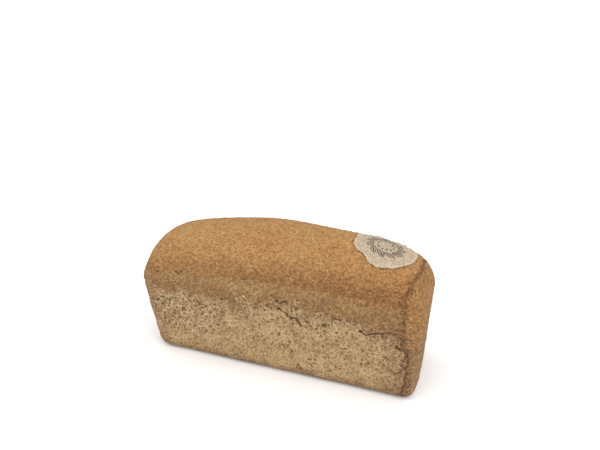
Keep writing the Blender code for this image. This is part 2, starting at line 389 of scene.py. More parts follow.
# Cracks, slits and single holes of the front face: half width, depth, and (x, z) along the run
CRACKS = [
    (0.0011, 0.0015, [(0.0150, 0.0655), (0.0218, 0.0635), (0.0250, 0.0595)]),
    (0.0011, 0.0015, [(0.0250, 0.0595), (0.0312, 0.0592), (0.0352, 0.0530)]),
    (0.0008, 0.0010, [(0.0377, 0.0615), (0.0397, 0.0590), (0.0453, 0.0540)]),
    (0.0007, 0.0010, [(0.0520, 0.0590), (0.0560, 0.0580)]),
    (0.0007, 0.0010, [(0.0620, 0.0667), (0.0683, 0.0657)]),
    (0.0009, 0.0013, [(0.0825, 0.0584), (0.0850, 0.0572), (0.0912, 0.0575)]),
    (0.0009, 0.0013, [(0.0912, 0.0575), (0.0987, 0.0603), (0.1097, 0.0622)]),
    (0.0007, 0.0008, [(0.1002, 0.0586), (0.1000, 0.0560), (0.1022, 0.0545)]),
    (0.0007, 0.0008, [(0.0134, 0.0727), (0.0178, 0.0717), (0.0220, 0.0726)]),
    (0.0006, 0.0009, [(-0.1029, 0.0797), (-0.0985, 0.0803)]),
    (0.0006, 0.0007, [(-0.0957, 0.0808), (-0.0933, 0.0810)]),
    (0.0008, 0.0012, [(-0.0825, 0.0823), (-0.0776, 0.0818)]),
    (0.0006, 0.0008, [(-0.0614, 0.0768), (-0.0598, 0.0766)]),
    (0.0009, 0.0012, [(-0.0542, 0.0762), (-0.0532, 0.0760)]),
    (0.0006, 0.0006, [(-0.0190, 0.0848), (-0.0140, 0.0856)]),
    (0.0015, 0.0018, [(0.1112, 0.0510), (0.1128, 0.0492)]),
]
CRACK_RAG = 0.0005
CRACK_RAG_WAVES = (40, (0.003, 0.008), SEED + 8)
CRACK_REACH = 4.0
FRONT_FROM = -0.040
SEAM_FROM_BASE = 0.008


def swell(points):
    """Slow unevenness of the whole loaf, which the paper disc follows too."""
    return SWELL * waves(points, *SWELL_WAVES)


def arch_distance(y, z):
    """Distance from the arch on the left end, positive outside it.

    The arch is an oval of the fourth power that spreads with the tin. The distance is the
    oval's size less one, over how fast that size grows.
    """
    spread = BASE_WIDTH + (WIDTH - BASE_WIDTH) * np.clip(z / RIM_HEIGHT, 0, 1)
    half = ARCH_HALF * spread / WIDTH
    across, up = np.abs(y) / half, np.abs(z) / ARCH_HEIGHT
    size = np.maximum((across ** 4 + up ** 4) ** 0.25, ARCH_LEAST_SIZE)
    growth = np.hypot(across ** 3 / half, up ** 3 / ARCH_HEIGHT) / size ** 3
    return (size - 1) / np.maximum(growth, ARCH_LEAST_GROWTH)


def fold_places(points):
    """Distance from the nearer fold, and a mask of what lies between them.

    The right fold runs up the loaf as a sine with one kink and leans outwards near the crest.
    Both fray by a wave sum.
    """
    x, y, z = points.T
    wander = FOLD_WANDER * np.sin(2 * np.pi * (z - FOLD_WANDER_START) / FOLD_WANDER_LENGTH)
    wander -= FOLD_KINK * groove(z - FOLD_KINK_HEIGHT, FOLD_KINK_REACH)
    wander += FOLD_LEAN * fade(z, *FOLD_LEAN_FROM)
    rag = FOLD_RAG * waves(points, *FOLD_RAG_WAVES)
    right = FOLD_RIGHT + wander + rag - x
    left = np.where(x < ARCH_FROM, arch_distance(y, z) - rag, FAR_OFF)
    nearer = np.minimum(np.abs(left), np.abs(right))
    return nearer, fade(np.minimum(left, right), -FOLD_SOFT, FOLD_SOFT)


def pit_marks(points, patchy, between_folds, dome_line):
    """How far pits, their rims and the dome's grain stand out, and the fields that show them.

    A wave sum sinks a pit where it passes its border and raises a rim beside it. The share
    says how much of that there is at a place.
    """
    x, _, z = points.T
    pit_top = np.interp(x, PIT_TOP_X, PIT_TOP_Z)
    pit_top += PIT_TOP_WANDER * waves(points, *PIT_TOP_WAVES)
    pitted = between_folds * fade(pit_top - z, -PIT_FADE / 2, PIT_FADE)
    torn = between_folds * groove(pit_top - z - TORN_BELOW, TORN_REACH) * np.interp(x, TORN_X, TORN_SHARE)

    worm_share = WORM_SHARE + WORM_SHARE_PATCHY * patchy + WORM_SHARE_RISE * (z - WORM_SHARE_HEIGHT)
    worm_share = np.clip(worm_share, WORM_SHARE_LEAST, 1)
    worm_share *= np.maximum(pitted, BAND_WORMS * fade(dome_line - z, *BAND_TOP))
    worm_share = np.maximum.reduce([worm_share, torn, END_WORMS * (1 - between_folds)])
    blister_share = pitted * np.interp(x, BLISTER_X, BLISTER_SHARE) * fade(z, *BLISTER_FROM)

    worm, blister = waves(points, *WORM_WAVES), waves(points, *BLISTER_WAVES)
    worm_rim = worm_share * groove(worm - WORM_RIDGE[0], WORM_RIDGE[1])
    blister_rim = blister_share * groove(blister - BLISTER_RIDGE[0], BLISTER_RIDGE[1])
    height = RIDGE_HEIGHT * np.maximum(worm_rim, blister_rim)
    height -= FINE_DEPTH * pitted * fade(waves(points, *FINE_WAVES), *FINE_BORDER)
    height -= WORM_DEPTH * worm_share * fade(worm, *WORM_BORDER)
    height -= BLISTER_DEPTH * blister_share * fade(blister, *BLISTER_BORDER)
    height += GRAIN_HEIGHT * (1 - pitted) * waves(points, *GRAIN_WAVES)
    fields = {
        "pitted": pitted,
        "torn": torn,
        "worm": worm,
        "worm_share": worm_share,
        "blister": blister,
        "blister_share": blister_share,
    }
    return height, fields


def crack_marks(points):
    """Depth of the front face's cracks, and the way to the nearest one in its half widths."""
    x, y, z = points.T
    bend = CRACK_RAG * waves(points, *CRACK_RAG_WAVES)
    sunk = np.zeros(len(x))
    nearest = np.full(len(x), CRACK_REACH)
    for half_width, depth, run in CRACKS:
        off = np.where(y < FRONT_FROM, run_distance(x, z + bend, run) / half_width, CRACK_REACH)
        sunk += depth * groove(off, 1)
        nearest = np.minimum(nearest, off)
    return sunk, nearest


def browning(points, patchy, fold_off, blister_share):
    """How brown the tin face is: the most that its outer edges, rim, folds and blisters give.

    The outer edge follows the tin's leaning ends, so the way out from the middle has the
    lean added on below the rim.
    """
    x, _, z = points.T
    lean_in = LENGTH / 2 - np.where(x < 0, BASE_LEFT, BASE_RIGHT)
    out = np.abs(x - EDGE_MIDDLE) + lean_in * np.clip(1 - z / RIM_HEIGHT, 0, 1)
    edge = np.maximum(fade(z, *EDGE_LOW), fade(out, *EDGE_OUT))
    edge = np.clip(EDGE_BROWN * edge + EDGE_PATCHY * patchy * edge, 0, EDGE_MOST)
    rim = RIM_BROWN * fade(z, *RIM_BROWN_FROM)
    fold = FOLD_BROWN * fade(fold_off, *FOLD_BROWN_FROM)
    return np.maximum.reduce([edge, rim, fold, BLISTER_BROWN * blister_share])


def crust_relief(points):
    """How far the crust stands out along its normal, and the fields that its material shows.

    Each kind of mark is a smooth step or bell curve of a distance or of a wave sum.
    """
    x, y, z = points.T
    relief = swell(points)
    tin_face = np.clip((RIM_LINE[0] - z) / CRUMBLE_FADE, 0, 1)
    relief += CRUMBLE * tin_face * waves(points, *CRUMBLE_WAVES)
    on_side = np.clip((np.abs(y) - SIDE_FROM) / SIDE_FADE, 0, 1)
    rim_line, dome_line = (height - sag * (x - middle) ** 2 for height, middle, sag in (RIM_LINE, DOME_LINE))
    for line in (rim_line, dome_line):
        relief -= LINE_DEPTH * on_side * groove(z - line, LINE_WIDTH)

    fold_off, between_folds = fold_places(points)
    frayed = np.clip(FRAY_MEAN + FRAY_VARIES * waves(points, *FRAY_WAVES), *FRAY_SPAN)
    relief += FOLD_LIP * groove(fold_off - FOLD_LIP_AT, FOLD_WIDTH)
    relief -= FOLD_DEPTH * frayed * groove(fold_off, FOLD_WIDTH)

    patchy = waves(points, *PATCH_WAVES)
    pits, fields = pit_marks(points, patchy, between_folds, dome_line)
    cracks, crack_off = crack_marks(points)
    relief += pits - cracks
    fields |= {
        "between_folds": between_folds,
        "over_rim_line": z - rim_line,
        "over_dome_line": z - dome_line,
        "fold_off": fold_off,
        "crack_off": crack_off,
        "browned": browning(points, patchy, fold_off, fields["blister_share"]),
    }
    return relief, fields


class Socket:
    """An output of a material's nodes. Sums and products of sockets add their Math nodes."""

    def __init__(self, tree, out):
        self.tree = tree
        self.out = out

    def node(self, kind, settings=None, sockets=None, out=0):
        """A node of any kind: its settings first, then the values or links of its inputs."""
        made = self.tree.nodes.new("ShaderNode" + kind)
        for name, value in (settings or {}).items():
            setattr(made, name, value)
        for name, value in (sockets or {}).items():
            if isinstance(value, Socket):
                self.tree.links.new(value.out, made.inputs[name])
            else:
                made.inputs[name].default_value = value
        return Socket(self.tree, made.outputs[out])

    def math(self, operation, *values):
        """One Math node on this socket and the given values."""
        return self.node("Math", {"operation": operation}, dict(enumerate([self, *values])))

    def __add__(self, other):
        return self.math("ADD", other)

    def __mul__(self, other):
        return self.math("MULTIPLY", other)

    def __sub__(self, other):
        return self.math("SUBTRACT", other)

    def __rsub__(self, other):
        return (self * -1).math("ADD", other)

    __radd__ = __add__
    __rmul__ = __mul__

    def step(self, start, full):
        """Nought up to start and one from full on, smooth between them."""
        settings = {"interpolation_type": "SMOOTHSTEP"}
        sockets = {"Value": self, "From Min": start, "From Max": full}
        return self.node("MapRange", settings, sockets)

    def mix(self, near, far):
        """Colours near and far, mixed by this socket."""
        return self.node("Mix", {"data_type": "RGBA"}, {0: self, 6: near, 7: far}, out=2)

    def scaled(self, factor):
        """This colour, brighter or darker by a factor."""
        return self.node("VectorMath", {"operation": "SCALE"}, {0: self, "Scale": factor})

    def attribute(self, name):
        """A number stored on the vertices."""
        return self.node("Attribute", {"attribute_name": name}, out=2)

    def noise(self, places, scale, detail=2.0, roughness=0.5):
        """Smooth noise of about 0 to 1 whose features are one over the scale long."""
        sockets = {"Vector": places, "Scale": scale, "Detail": detail, "Roughness": roughness}
        return self.node("TexNoise", None, sockets)

    def cells(self, places, scale):
        """Cells of about one over the scale across, each with its own tone from 0 to 1."""
        colour = self.node("TexVoronoi", None, {"Vector": places, "Scale": scale}, out=1)
        return self.node("SeparateColor", None, {0: colour})


def start_material(name):
    """A new material: its shader, a socket to start expressions from, and Object coordinates."""
    material = bpy.data.materials.new(name)
    material.use_nodes = True
    shader = material.node_tree.nodes["Principled BSDF"]
    start = Socket(material.node_tree, None)
    return material, shader, start, start.node("TexCoord", out=3)


def feed(shader, name, value):
    """Link a socket to one of the shader's inputs."""
    value.tree.links.new(value.out, shader.inputs[name])


# Colours of the crust, from the dome down to the tin face and into its pits. The two darkest
# colours are painted shade in pits, gaps, folds and cracks and partly along the base, and the pale
# ridge colour is also the painted highlight of the fine veins.
DOME_RED = (0.320, 0.150, 0.052, 1)
DOME_YELLOW = (0.365, 0.205, 0.074, 1)
DOME_LOW_LEFT = (0.255, 0.130, 0.046, 1)
DOME_LOW_RIGHT = (0.195, 0.088, 0.031, 1)
BAND_OLIVE = (0.255, 0.150, 0.060, 1)
BAND_BROWN = (0.218, 0.119, 0.050, 1)
END_ORANGE = (0.280, 0.142, 0.049, 1)
# Painted shade at the top of the ends
END_SHADE_RED = (0.205, 0.088, 0.034, 1)
END_BROWN = (0.235, 0.138, 0.062, 1)
WALL_TAN = (0.305, 0.196, 0.086, 1)
WALL_BROWN = (0.222, 0.120, 0.054, 1)
RIDGE_AND_HIGHLIGHT_PALE = (0.530, 0.385, 0.205, 1)
BLISTER_PALE = (0.540, 0.395, 0.245, 1)
SHADE_BROWN = (0.125, 0.068, 0.030, 1)
SHADE_DARK = (0.065, 0.032, 0.015, 1)
FOLD_RED = (0.150, 0.062, 0.026, 1)

# Where the colours change, in metres: along the loaf, over the dome and rim lines, up the ends,
# out from the folds and up from the base. The cracks' span is in their half widths.
LOW_DOME_ALONG = (-0.080, 0.060)
LOW_DOME_SPAN = (-0.001, 0.024)
DOME_BORDER = (-0.006, 0.003)
DOME_CALM = (0.003, 0.030)
BAND_BORDER = (-0.004, 0.010)
END_WARM = (0.035, 0.080)
END_SHADE_SPAN = (0.094, 0.108)
FOLD_LIP_SPAN = (0.0040, 0.0004)
FOLD_GAP_SPAN = (0.0020, 0.0006)
FOLD_SPECK_SPAN = (0.0070, 0.0020)
CRACK_SPAN = (1.10, 0.65)
BASE_LINE_SPAN = (0.0030, 0.0008)

# Noises of the crust: features per metre, detail and roughness
CRUST_NOISES = {
    "cloud": (24, 3),
    "patch": (90, 3),
    "rough": (900, 3, 0.65),
    "crumb": (1500, 2, 0.6),
}

# Cells per metre of the meal, of the lumps and of the net of cell walls, and the veins' features
# per metre. All are bent by one noise, and the meal is drawn out along the loaf.
MEAL_CELLS = 920
MEAL_DRAWN_OUT = (0.75, 1, 1)
LUMP_CELLS = 480
NET_CELLS = 330
VEIN_FEATURES = 430
BEND_FEATURES = 350
BEND_REACH = 0.0022


def crust_textures(start, place):
    """The noises, cells and veins that the colours of the crust share.

    A pale line of painted highlight, and beside it a dark line of painted shadow that is also
    sunk a little in the crust's bump, lie where the veins' noise is near one of two levels. The
    grain is a sum of cell tones and noises about nought, and colours are scaled by one plus its
    share.
    """
    noises = {name: start.noise(place, *values) for name, values in CRUST_NOISES.items()}
    skin = SimpleNamespace(place=place, **noises)
    warp = start.node("TexNoise", None, {"Vector": place, "Scale": BEND_FEATURES, "Detail": 2}, out=1)
    bend = {0: warp, 1: (BEND_REACH,) * 3, 2: place}
    skin.bent = start.node("VectorMath", {"operation": "MULTIPLY_ADD"}, bend)
    drawn_out = start.node("Mapping", None, {"Vector": skin.bent, "Scale": MEAL_DRAWN_OUT})
    skin.tone = start.cells(drawn_out, MEAL_CELLS)
    skin.lump = start.cells(skin.bent, LUMP_CELLS)
    skin.grain = skin.tone * 0.40 + skin.rough * 0.45 + skin.crumb * 0.80 - 0.825
    skin.climb = start.node("SeparateXYZ", None, {0: place}, out=2)
    vein = start.noise(skin.bent, VEIN_FEATURES, 2)
    # A pale line of painted highlight where the veins' noise is near 0.50, and a dark line of painted shadow
    # beside it near 0.61
    skin.fine_ridge = (vein - 0.50).math("ABSOLUTE").step(0.040, 0.010)
    skin.fine_gap = (vein - 0.61).math("ABSOLUTE").step(0.040, 0.010)
    return skin


def free_crust_colour(start, skin):
    """Colour of all that baked free of the tin.

    The dome is orange brown and darkens towards the dome line, and the band below it is olive
    and brown. Beyond the folds the ends go from dull brown up to orange, with coarser lumps, and
    the darker red at their top is painted shade.
    """
    over_dome = start.attribute("over_dome_line") + (skin.patch - 0.5) * 0.010
    over_rim = start.attribute("over_rim_line") + (skin.patch - 0.5) * 0.012
    between = start.attribute("between_folds")
    along = start.node("SeparateXYZ", None, {0: skin.place}, out=0)
    fleck = skin.cloud * 0.40 + skin.patch * 0.15 + skin.tone * 0.20 + skin.crumb * 0.25
    dome = fleck.step(0.36, 0.62).mix(DOME_RED, DOME_YELLOW)
    low_dome = along.step(*LOW_DOME_ALONG).mix(DOME_LOW_LEFT, DOME_LOW_RIGHT)
    dome = over_dome.step(*LOW_DOME_SPAN).mix(low_dome, dome)
    band = (over_rim + (skin.cloud - 0.5) * 0.035).step(*BAND_BORDER).mix(BAND_BROWN, BAND_OLIVE)
    crust = over_dome.step(*DOME_BORDER).mix(band, dome)
    end = (skin.climb + (skin.cloud - 0.5) * 0.020).step(*END_WARM).mix(END_BROWN, END_ORANGE)
    # Darker red at the top of the ends: painted shade
    end = skin.climb.step(*END_SHADE_SPAN).mix(end, END_SHADE_RED)
    crust = between.mix(end, crust)
    crust = crust.scaled(1 + skin.grain * (1.75 - over_dome.step(*DOME_CALM) * 0.80))
    return crust.scaled(1 + (skin.lump - 0.5) * (0.42 - between * 0.27))


def tin_face_colour(start, skin):
    """Colour of the face that baked against the tin.

    It is pale tan, and brown at its edges and where it tore. Dark lines of painted shadow, fine
    pale lines of painted highlight, a net of cell walls and the pale rims of the pits lie over it,
    fewest where it is brown, and dark specks of painted shade sit in its fine pits.
    """
    browned = (skin.cloud * 0.5 + skin.patch * 0.5).step(0.60, 0.44) * 0.22 + start.attribute("browned")
    bare = 1 - browned.math("MINIMUM", 1.0) * 0.60
    brown_share = (browned * 0.9 + start.attribute("torn") * 0.45).math("MINIMUM", 1.0)
    wall = brown_share.mix(WALL_TAN, WALL_BROWN).scaled(1 + skin.grain * 1.3)
    # Painted shadow along the fine gaps, then painted highlight along the fine pale lines
    wall = (skin.fine_gap * (skin.tone * 0.3 + 0.65)).mix(wall, SHADE_BROWN)
    wall = (skin.fine_ridge * bare * 0.90).mix(wall, RIDGE_AND_HIGHLIGHT_PALE)
    cell_walls = {"Vector": skin.bent, "Scale": NET_CELLS}
    net = start.node("TexVoronoi", {"feature": "DISTANCE_TO_EDGE"}, cell_walls).step(0.12, 0.03)
    wall = (net * skin.patch.step(0.34, 0.56) * bare * 0.75).mix(wall, RIDGE_AND_HIGHLIGHT_PALE)
    # Dark specks where the rough noise is low, in the hollows of the bump: painted shade in fine pits
    wall = (skin.rough.step(0.41, 0.32) * 0.8).mix(wall, SHADE_DARK)
    worm, blister = start.attribute("worm"), start.attribute("blister")
    worm_rim = start.attribute("worm_share") * worm.step(-0.90, -0.10) * worm.step(0.60, 0.10)
    wall = (worm_rim * bare * 0.60).mix(wall, RIDGE_AND_HIGHLIGHT_PALE)
    blister_rim = start.attribute("blister_share") * (blister - 0.35).math("ABSOLUTE").step(0.36, 0.06)
    return (blister_rim * 0.95).mix(wall, BLISTER_PALE)


def with_pit_shade(start, skin, crust):
    """The crust's colour with painted shade on the floors of its worm tracks and blisters."""
    worm, blister = start.attribute("worm"), start.attribute("blister")
    worm_floor = worm.step(0.75, 1.35) * (start.attribute("torn") * 0.3 + 0.4)
    worm_floor = worm_floor + (worm + skin.rough).step(1.75, 2.20) * 0.5
    crust = (start.attribute("worm_share") * worm_floor).math("MINIMUM", 1.0).mix(crust, SHADE_BROWN)
    blister_floor = blister.step(0.80, 1.30) * 0.35 + (blister + skin.rough).step(1.80, 2.25) * 0.45
    return (start.attribute("blister_share") * blister_floor).mix(crust, SHADE_BROWN)


def with_folds_and_cracks(start, skin, crust):
    """The crust's colour with its folds, its cracks and a brown line round the base.

    A fold has red lips, and a broken dark gap and dark specks beside it that are painted
    shade. Cracks are dark with painted shade, and the brown line round the base is partly browner
    crust and partly painted contact shade.
    """
    fold_off = start.attribute("fold_off") + (skin.rough - 0.5) * 0.0020 + (skin.patch - 0.5) * 0.0020
    broken = (skin.patch * 0.5 + skin.rough * 0.5).step(0.46, 0.56)
    crust = (fold_off.step(*FOLD_LIP_SPAN) * 0.55).mix(crust, FOLD_RED)
    # Painted shade in the fold's broken gap and in small pits beside it
    crust = (fold_off.step(*FOLD_GAP_SPAN) * broken * 0.75).mix(crust, SHADE_DARK)
    crust = (fold_off.step(*FOLD_SPECK_SPAN) * skin.tone.step(0.34, 0.20) * 0.65).mix(crust, SHADE_DARK)
    # Cracks: painted shade inside them
    crack = (start.attribute("crack_off") + (skin.rough - 0.5)).step(*CRACK_SPAN)
    crust = (crack * 0.9).mix(crust, SHADE_DARK)
    # Line round the very base: partly browner crust, partly painted contact shade
    return (skin.climb.step(*BASE_LINE_SPAN) * 0.5).mix(crust, SHADE_BROWN)


def crust_material():
    """Baked wholemeal crust: a matt skin of meal cells about one millimetre across.

    The face that baked free and the tin face each have their own colour, and the border
    between them wanders with the noises. Pits, folds and cracks are laid over both.
    """
    material, shader, start, place = start_material("baked_crust")
    skin = crust_textures(start, place)
    border = (skin.patch - 0.5) * 1.2 + (skin.cloud - 0.5) * 0.6 + (skin.tone - 0.5) * 0.5
    pitted = (start.attribute("pitted") + border).step(0.08, 0.88)
    crust = pitted.mix(free_crust_colour(start, skin), tin_face_colour(start, skin))
    crust = with_pit_shade(start, skin, crust)
    crust = with_folds_and_cracks(start, skin, crust)
    feed(shader, "Base Color", crust)
    feed(shader, "Roughness", 0.80 + skin.rough * 0.15)
    shader.inputs["Specular IOR Level"].default_value = 0.25

    height = skin.rough * 0.6 + skin.tone * 0.3 + skin.crumb * 0.3 - pitted * skin.fine_gap * 0.4
    bump = start.node("Bump", None, {"Strength": 0.8, "Distance": 0.0005, "Height": height})
    feed(shader, "Normal", bump)
    return material


def make_crust():
    """The plain form's rows as one closed mesh, then moved along its normals by the relief."""
    crest, rows, loop = loaf_rows()
    points = np.concatenate([crest.reshape(-1, 3), rows.reshape(-1, 3), np.zeros((1, 3))])
    mesh = bpy.data.meshes.new("crust")
    mesh.from_pydata(points.tolist(), [], loaf_faces(crest.shape, len(rows), loop))
    mesh.update()
    relief, fields = crust_relief(points)
    off_base = np.clip(points[:, 2] / SEAM_FROM_BASE, 0, 1)
    points += mesh_normals(mesh) * (relief * off_base)[:, None]
    mesh.vertices.foreach_set("co", points.ravel())
    for name, values in fields.items():
        set_values(mesh, name, values)
    mesh.update()
    return mesh


crust = add_piece("crust", make_crust(), crust_material())
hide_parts("loaf")


# The bran: coarse flakes of spelt husk and grain that lie in the crust's skin. They came with
# the meal, the dough was rolled in some more, and they are baked in place.

BRAN_COUNT = 900
BRAN_SEED = SEED + 30
BRAN_FROM = 0.004
BRAN_LENGTHS = (0.0008, 0.0019)
BRAN_SHADES = (0, 0.6)
BRAN_SLIM = (0.40, 0.75)
BRAN_RISE = 0.00022
BRAN_LIFT = 0.08
BRAN_SIDES = 6
BRAN_PALE = (0.640, 0.480, 0.290, 1)
BRAN_BROWN = (0.110, 0.055, 0.024, 1)

# Two flakes that show plainly: place, length and shade, and the way that both are turned
BRAN_PLACED = [((-0.014, -0.054, 0.0714), 0.0036, 1.0), ((0.0726, -0.0234, 0.1120), 0.0018, 0.0)]
BRAN_PLACED_TURN = (-0.45, 0.0, -1.0)


def lens_faces(count):
    """Triangles of each flake, from its rim to the pole above it and to the pole below."""
    ring = np.arange(BRAN_SIDES)
    ahead = np.roll(ring, -1)
    top = np.stack([ring, ahead, np.full(BRAN_SIDES, BRAN_SIDES)], -1)
    bottom = np.stack([ahead, ring, np.full(BRAN_SIDES, BRAN_SIDES + 1)], -1)
    first = np.arange(count)[:, None, None] * (BRAN_SIDES + 2)
    return (first + np.concatenate([top, bottom])[None]).reshape(-1, 3)


def make_bran(crust_mesh):
    """Lens-shaped flakes on seeded points of the crust, and then the two placed ones.

    A flake is a six-sided oval rim in the crust's tangent plane, with a pole above and below.
    Its middle is lifted off the crust by a small share of its length.
    """
    draw = np.random.default_rng(BRAN_SEED)
    points, normals = mesh_points(crust_mesh), mesh_normals(crust_mesh)
    spots, sizes, tones = zip(*BRAN_PLACED)
    chosen = draw.choice(np.flatnonzero(points[:, 2] > BRAN_FROM), BRAN_COUNT, replace=False)
    placed = [int(np.argmin(np.linalg.norm(points - spot, axis=1))) for spot in spots]
    chosen = np.concatenate([chosen, placed])
    length = np.concatenate([draw.uniform(*BRAN_LENGTHS, BRAN_COUNT), sizes])
    shade = np.concatenate([draw.uniform(*BRAN_SHADES, BRAN_COUNT), tones])
    slim = draw.uniform(*BRAN_SLIM, len(chosen))

    up = normals[chosen]
    middle = points[chosen] + up * (length * BRAN_LIFT)[:, None]
    turned = draw.normal(size=up.shape)
    turned[BRAN_COUNT:] = BRAN_PLACED_TURN
    along = np.cross(up, turned)
    along /= np.linalg.norm(along, axis=1, keepdims=True)
    side = np.cross(up, along)
    turn = np.arange(BRAN_SIDES) * 2 * np.pi / BRAN_SIDES
    reach = (length / 2)[:, None, None] * along[:, None] * np.cos(turn)[None, :, None]
    spread = (length * slim / 2)[:, None, None] * side[:, None] * np.sin(turn)[None, :, None]
    rim = middle[:, None] + reach + spread
    poles = middle[:, None] + up[:, None] * np.array([BRAN_RISE, -BRAN_RISE])[None, :, None]

    mesh = bpy.data.meshes.new("bran")
    corners = np.concatenate([rim, poles], axis=1).reshape(-1, 3)
    mesh.from_pydata(corners.tolist(), [], lens_faces(len(chosen)).tolist())
    set_values(mesh, "shade", np.repeat(shade, BRAN_SIDES + 2))
    mesh.update()
    return mesh


def bran_material():
    """Baked bran: matt, from straw to dark brown, one tone to a flake."""
    material, shader, start, place = start_material("bran_flakes")
    rough = start.noise(place, 1500, 2)
    feed(shader, "Base Color", start.attribute("shade").step(0.05, 0.95).mix(BRAN_BROWN, BRAN_PALE))
    feed(shader, "Roughness", 0.80 + rough * 0.15)
    shader.inputs["Specular IOR Level"].default_value = 0.0
    return material


add_piece("bran", make_bran(crust.data), bran_material())


# The paper disc: a thin sheet of edible wafer paper, laid on the dough before baking. It has
# dried onto the dome, with a slightly lobed rim that lifts a little here and there.

DISC_CENTRE = (0.0906, -0.0053)
DISC_RADIUS = 0.0250

# The outline's waves: count round the rim, share of the radius and turn in radians
DISC_WAVES = [
    (2, 0.019, 0.58),
    (3, 0.036, 0.66),
    (4, 0.018, 0.38),
    (5, 0.016, -0.53),
    (6, 0.020, -0.47),
    (7, 0.018, 0.03),
    (8, 0.013, -0.33),
    (17, 0.004, 0.0),
]
DISC_FRAY = 0.006
DISC_FRAY_WAVES = (30, (0.04, 0.12), SEED + 21)
DISC_THICKNESS = 0.0005
DISC_LIFT = 0.00045
DISC_RINGS = 56
DISC_SPOKES = 400
SLOPE_STEP = 0.0001

# The dried sheet's crinkle. At the very rim its hills gain a multiple of their own height, and
# the hills are counted up to a most.
CRINKLE = 0.00018
CRINKLE_WAVES = (40, (0.0035, 0.008), SEED + 20)
CRINKLE_RIM = 2.6
CRINKLE_MOST = 2.0

FIBRE_CELLS = 950
PAPER_CREAM = (0.460, 0.368, 0.258, 1)
PAPER_GREY = (0.225, 0.170, 0.112, 1)
PAPER_HIGHLIGHT = (0.560, 0.475, 0.350, 1)


def surface_normal(x, y):
    """Upward normal of the dome at plan positions, from its slopes over a small step."""
    slope_x = (dome_rise(x + SLOPE_STEP, y) - dome_rise(x - SLOPE_STEP, y)) / (2 * SLOPE_STEP)
    slope_y = (dome_rise(x, y + SLOPE_STEP) - dome_rise(x, y - SLOPE_STEP)) / (2 * SLOPE_STEP)
    normal = np.stack([-slope_x, -slope_y, np.ones_like(x)], -1)
    return normal / np.linalg.norm(normal, axis=-1, keepdims=True)


def on_dome(x, y, lift):
    """Points over the dome at plan positions, lifted along its normal.

    The lift is added to the loaf's swell and to a crinkle. The crinkle is a wave sum, and its
    hills grow towards the rim as the eighth power of the way out from the disc's middle.
    """
    plain = np.stack([x, y, RIM_HEIGHT + dome_rise(x, y)], -1)
    flat = plain.reshape(-1, 3)
    crinkle = waves(flat, *CRINKLE_WAVES)
    out = np.hypot(flat[:, 0] - DISC_CENTRE[0], flat[:, 1] - DISC_CENTRE[1]) / DISC_RADIUS
    hills = CRINKLE_RIM * np.clip(out, 0, 1) ** 8 * np.clip(crinkle, 0, CRINKLE_MOST)
    height = (swell(flat) + CRINKLE * (crinkle + hills)).reshape(x.shape) + DISC_LIFT + lift
    return plain + surface_normal(x, y) * height[..., None]


def disc_plan(reach, angle):
    """Plan position at a share of the disc's radius.

    The outline's waves are cosines of the angle that grow as the fourth power of the way out.
    The very rim is also frayed, by a sum of sines of the place on the unit circle that grows as
    the way's 24th power.
    """
    uneven = sum(share * np.cos(count * (angle - turn)) for count, share, turn in DISC_WAVES)
    circle = np.stack([np.cos(angle), np.sin(angle), np.zeros_like(angle)], -1)
    fray = DISC_FRAY * waves(circle.reshape(-1, 3), *DISC_FRAY_WAVES).reshape(angle.shape)
    radius = DISC_RADIUS * reach * (1 + reach ** 4 * uneven + reach ** 24 * fray)
    return DISC_CENTRE[0] + radius * np.cos(angle), DISC_CENTRE[1] + radius * np.sin(angle)


def closed_grid(rows, around, pole_start, pole_end):
    """Faces of rows of a closed loop, with a pole's fan at the first and at the last row."""
    ring = np.arange(rows * around).reshape(rows, around)
    turned = np.roll(ring, -1, axis=1)
    bands = np.stack([ring[1:], turned[1:], turned[:-1], ring[:-1]], -1).reshape(-1, 4)
    first = np.stack([np.full(around, pole_start), ring[0], turned[0]], -1)
    last = np.stack([np.full(around, pole_end), turned[-1], ring[-1]], -1)
    return [*bands.tolist(), *first.tolist(), *last.tolist()]


def make_disc():
    """Rings out from the middle on the upper side, round the rim, and back underneath."""
    reach = np.linspace(1 / DISC_RINGS, 1, DISC_RINGS)
    angle = np.arange(DISC_SPOKES) * 2 * np.pi / DISC_SPOKES
    reach, angle = np.meshgrid(reach, angle, indexing="ij")
    x, y = disc_plan(reach, angle)
    upper = on_dome(x, y, DISC_THICKNESS)
    lower = on_dome(x, y, 0.0)[::-1]
    middle_x, middle_y = np.array([DISC_CENTRE[0]]), np.array([DISC_CENTRE[1]])
    poles = [on_dome(middle_x, middle_y, lift) for lift in (DISC_THICKNESS, 0.0)]
    points = np.concatenate([upper.reshape(-1, 3), lower.reshape(-1, 3), *poles])
    grid = 2 * DISC_RINGS * DISC_SPOKES
    mesh = bpy.data.meshes.new("paper_disc")
    mesh.from_pydata(points.tolist(), [], closed_grid(2 * DISC_RINGS, DISC_SPOKES, grid, grid + 1))
    set_values(mesh, "reach", np.concatenate([reach.ravel(), reach[::-1].ravel(), [0, 0]]))
    mesh.update()
    return mesh


